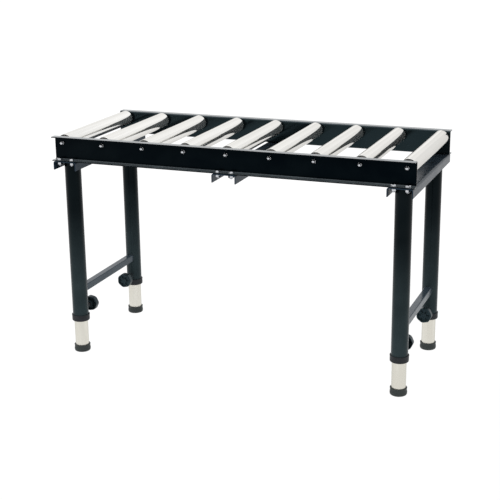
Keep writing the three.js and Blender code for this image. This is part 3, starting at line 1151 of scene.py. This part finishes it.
BRACE_REACH = LEG_Y - TUBE_RADIUS / 2
COPE_RADIUS, COPE_HALF = TUBE_RADIUS + 0.1, 30
outside = square(BRACE_HALF, BRACE_CORNER)
inside = square(BRACE_HALF - BRACE_WALL, BRACE_CORNER - 1)
brace_rings = [
    [(u, v, z) for u, v in outline]
    for outline, z in (
        (outside, -BRACE_REACH),
        (outside, BRACE_REACH),
        (inside, BRACE_REACH),
        (inside, -BRACE_REACH),
    )
]
cope = [(0, -COPE_HALF), (COPE_RADIUS, -COPE_HALF), (COPE_RADIUS, COPE_HALF), (0, COPE_HALF)]

for end, x in (("left", -LEG_X), ("right", LEG_X)):
    middle = Matrix.Translation((x, 0, BRACE_HEIGHT)) @ Matrix.Rotation(math.pi / 2, 4, "X")
    brace = loft(bmesh.new(), brace_rings, middle, closed=True)
    brace = mesh_object(f"brace_tube_{end}", brace, BRACE_PAINT)
    copes = bmesh.new()
    for y in (-LEG_Y, LEG_Y):
        loft(copes, turned(cope), Matrix.Translation((x, y, BRACE_HEIGHT)))
    piece(drill(brace, copes), "frame", "leg_paint", f"leg_brace_{end}")


# ---------------------------------------------------------------- camera, floor and light

# The photograph's viewpoint
CAMERA_PLACE, SENSOR, LENS = (1.1328, -2.9592, 1.2663), 36, 85.46
CAMERA_YAW, CAMERA_PITCH, CAMERA_ROLL = (math.radians(a) for a in (21.15, 17.03, -0.61))
camera = bpy.data.objects.new("camera", bpy.data.cameras.new("camera"))
bpy.context.scene.collection.objects.link(camera)
bpy.context.scene.camera = camera
camera.data.sensor_width, camera.data.lens = SENSOR, LENS
camera.location = CAMERA_PLACE
look = Matrix.Rotation(CAMERA_YAW, 3, "Z") @ Matrix.Rotation(math.pi / 2 - CAMERA_PITCH, 3, "X")
camera.rotation_mode = "QUATERNION"
camera.rotation_quaternion = (look @ Matrix.Rotation(CAMERA_ROLL, 3, "Z")).to_quaternion()

WORLD_LIGHT = 0.5
FLOOR_COLOUR = (0.85, 0.85, 0.85, 1)
WHITE = (1, 1, 1, 1)
FLOOR_WHITE = 1.08  # makes up for the shaded floor's share of what the camera sees
NEAR_SHARE, NEAR, FAR = 0.85, 0.7, 2.0  # share of plain white near the table; all white from FAR
FLOOR_HALF = 30000
FLOOR_LEVEL = -280.5  # just under the feet of the legs at their longest, so it hides none of them


def floor_material():
    """Pale diffuse floor that the camera and gloss see as white, with a faint shadow."""
    material = bpy.data.materials.new("studio_floor")
    material.use_nodes = True
    nodes = material.node_tree.nodes
    nodes.clear()
    tree = Tree(material.node_tree)
    path = nodes.new("ShaderNodeLightPath").outputs
    pale = tree.add("ShaderNodeBsdfDiffuse", {"Color": FLOOR_COLOUR})
    white = tree.add("ShaderNodeEmission", {"Color": WHITE, "Strength": FLOOR_WHITE})
    in_gloss = tree.add("ShaderNodeEmission", {"Color": WHITE, "Strength": 1.0})
    place = tree.add("ShaderNodeTexCoord", out="Object")
    away = tree.add("ShaderNodeVectorMath", {"Vector": place}, out="Value", operation="LENGTH")
    share = spread(tree, away, NEAR_SHARE, 1.0, NEAR, FAR)
    by_camera = tree.math("MULTIPLY", path["Is Camera Ray"], share)
    by_gloss = tree.math("MAXIMUM", path["Is Glossy Ray"], path["Is Transmission Ray"])
    from_below = tree.add("ShaderNodeNewGeometry", out="Backfacing")
    clear = tree.add("ShaderNodeBsdfTransparent")
    seen = pale
    for factor, other in ((by_camera, white), (by_gloss, in_gloss), (from_below, clear)):
        shaders = {"Fac": factor, "Shader": seen, "Shader_001": other}
        seen = tree.add("ShaderNodeMixShader", shaders)
    output = nodes.new("ShaderNodeOutputMaterial")
    material.node_tree.links.new(seen, output.inputs["Surface"])
    return material


sheet = bmesh.new()
ends = ((-1, -1), (1, -1), (1, 1), (-1, 1))
places = [(x * FLOOR_HALF, y * FLOOR_HALF, FLOOR_LEVEL) for x, y in ends]
sheet.faces.new([sheet.verts.new(place) for place in places])
floor = mesh_object("floor", sheet, floor_material())

world = bpy.data.worlds.new("studio")
bpy.context.scene.world = world
world.use_nodes = True
sky = Tree(world.node_tree)
around = world.node_tree.nodes["Background"]
around.inputs["Color"].default_value = WHITE
path = world.node_tree.nodes.new("ShaderNodeLightPath").outputs
direct = sky.math("MAXIMUM", path["Is Camera Ray"], path["Is Glossy Ray"])
direct = sky.math("MAXIMUM", direct, path["Is Transmission Ray"])
strength = sky.add(
    "ShaderNodeMapRange", {"Value": direct, "To Min": WORLD_LIGHT, "To Max": 1.0}, out="Result"
)
world.node_tree.links.new(strength, around.inputs["Strength"])


def softbox(name, place, aim, size, power, mirrored=True):
    """A rectangular lamp that points at a place, which the camera doesn't see and gloss may."""
    data = bpy.data.lights.new(name, "AREA")
    data.shape = "RECTANGLE"
    data.size, data.size_y = size
    data.energy = power
    lamp = bpy.data.objects.new(name, data)
    lamp.location = place
    lamp.rotation_mode = "QUATERNION"
    lamp.rotation_quaternion = (Vector(aim) - Vector(place)).to_track_quat("-Z", "Y")
    lamp.visible_camera = False
    lamp.visible_glossy = mirrored
    bpy.context.scene.collection.objects.link(lamp)


softbox("top_softbox", (-0.4, 1.5, 4.2), (0, 0, 0.4), (4.2, 3.2), 33)
softbox("front_softbox", (1.0, -3.2, 3.4), (0, 0, 0.4), (3.2, 2.4), 72, mirrored=False)
softbox("rear_softbox", (-1.2, 2.9, 1.27), (-0.1, 0, 0.63), (2.6, 0.5), 1.4)
softbox("high_softbox", (-1.2, 2.9, 2.0), (0, 0, 0.6), (5.0, 0.9), 1.6)
softbox("left_softbox", (-3.0, -1.5, 1.0), (-0.3, 0, 0.4), (2.4, 1.8), 20, mirrored=False)

bpy.context.scene.view_settings.view_transform = "Standard"
